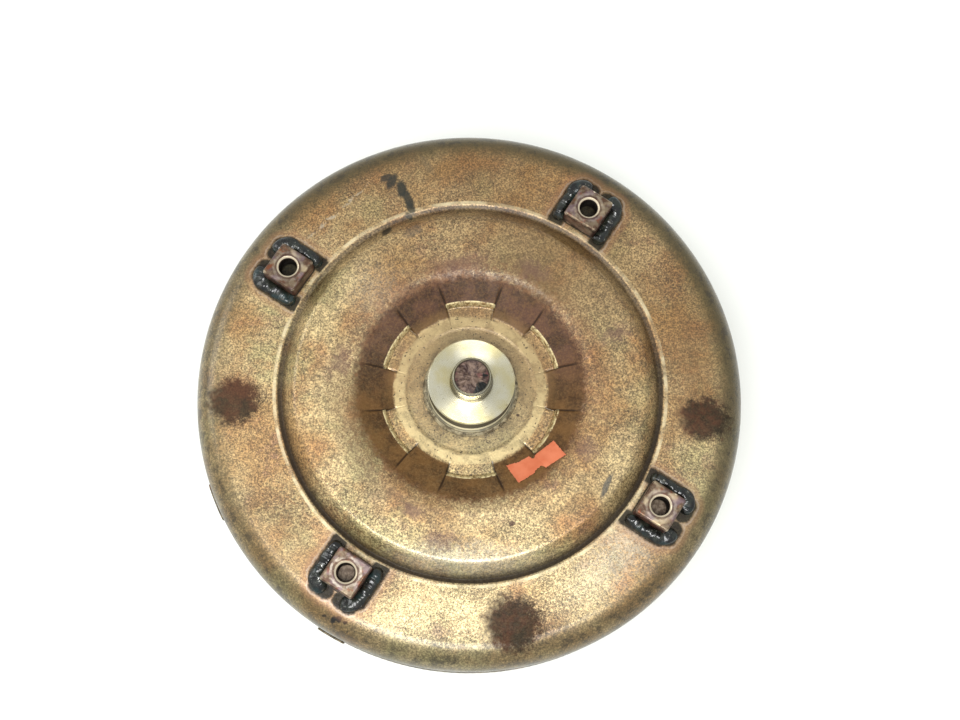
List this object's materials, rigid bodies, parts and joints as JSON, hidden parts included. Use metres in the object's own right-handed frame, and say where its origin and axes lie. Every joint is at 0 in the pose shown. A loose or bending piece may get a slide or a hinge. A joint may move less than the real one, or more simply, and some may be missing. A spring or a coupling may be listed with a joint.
{
  "type": "torque converter",
  "caption": "Round welded lock-up torque converter with a domed stamped cover, pilot boss, square drive pads and a slotted pump neck.",
  "frame": {"origin": "centre of the pump neck's rear end face, on which it stands", "axes": "+Z along the axis of rotation towards the engine (the cover, pilot and drive pads); +X and +Y square to it, with a drive pad 56.7 degrees from +X"},
  "size_m": [0.2812, 0.2812, 0.1529],
  "materials": {
    "varnished_steel": "stained clear varnish over pressed steel",
    "machined_steel": "turned",
    "stained_steel": "heat-stained, worn edges",
    "weld_metal": "dark glassy weld scale",
    "dark_shell_steel": "stained",
    "label_paper": "matt",
    "bronze": "bored",
    "cast_aluminium": "as cast",
    "friction_paper": "matt, oil-soaked",
    "seal_plastic": "smooth",
    "spring_steel": "oiled",
    "bright_steel": "oiled"
  },
  "bodies": {
    "housing": {"front_cover": "varnished_steel", "crank_pilot": "machined_steel", "pilot_weld": "weld_metal", "drive_pads": "stained_steel", "pad_welds": "weld_metal", "balance_weights": "stained_steel", "label": "label_paper", "impeller_shell": "dark_shell_steel", "seam_weld": "weld_metal", "impeller_hub": "machined_steel", "hub_weld": "weld_metal", "hub_bush": "bronze", "impeller_blades": "bright_steel", "impeller_core_ring": "bright_steel", "turbine_thrust_washer": "seal_plastic", "rear_bearing_lower_race": "bright_steel"},
    "turbine": {"turbine_shell": "bright_steel", "turbine_blades": "bright_steel", "turbine_core_ring": "bright_steel", "turbine_hub": "bright_steel", "turbine_rivets": "bright_steel", "piston_seal": "seal_plastic", "damper_driven_plate": "bright_steel", "front_bearing_upper_race": "bright_steel"},
    "damper": {"damper_rear_retainer": "bright_steel", "damper_front_retainer": "bright_steel", "damper_rivets": "bright_steel", "damper_springs": "spring_steel"},
    "piston": {"lockup_piston": "bright_steel", "friction_lining": "friction_paper"},
    "stator": {"stator_wheel": "cast_aluminium", "clutch_outer_race": "bright_steel", "clutch_rollers": "bright_steel", "clutch_springs": "spring_steel", "clutch_rear_plate": "bright_steel", "clutch_front_plate": "bright_steel", "rear_bearing_upper_race": "bright_steel", "front_bearing_lower_race": "bright_steel"},
    "inner_race": {"clutch_inner_race": "bright_steel"},
    "rear_bearing": {"rear_bearing_needles": "bright_steel", "rear_bearing_cage": "bright_steel"},
    "front_bearing": {"front_bearing_needles": "bright_steel", "front_bearing_cage": "bright_steel"}
  },
  "joints": [
    {"name": "turbine_spin", "type": "hinge", "parent": "housing", "child": "turbine", "pos_m": [0, 0, 0.092], "axis": [0, 0, 1], "continuous": true},
    {"name": "damper_twist", "type": "hinge", "parent": "turbine", "child": "damper", "pos_m": [0, 0, 0.1077], "axis": [0, 0, 1], "range_deg": [-6, 6], "stiffness_Nm_per_rad": 30, "deforming": ["damper_springs"]},
    {"name": "piston_slide", "type": "slide", "parent": "damper", "child": "piston", "axis": [0, 0, 1], "range_m": [0, 0.0012]},
    {"name": "stator_spin", "type": "hinge", "parent": "housing", "child": "stator", "pos_m": [0, 0, 0.069], "axis": [0, 0, 1], "continuous": true},
    {"name": "clutch_freewheel", "type": "hinge", "parent": "stator", "child": "inner_race", "pos_m": [0, 0, 0.069], "axis": [0, 0, 1], "continuous": true},
    {"name": "rear_bearing_spin", "type": "hinge", "parent": "housing", "child": "rear_bearing", "pos_m": [0, 0, 0.051], "axis": [0, 0, 1], "continuous": true},
    {"name": "front_bearing_spin", "type": "hinge", "parent": "turbine", "child": "front_bearing", "pos_m": [0, 0, 0.086], "axis": [0, 0, 1], "continuous": true}
  ],
  "couplings": [
    {"joint": "rear_bearing_spin", "follows": "stator_spin", "ratio": 0.5},
    {"joint": "front_bearing_spin", "follows": "turbine_spin", "ratio": -0.5}
  ]
}
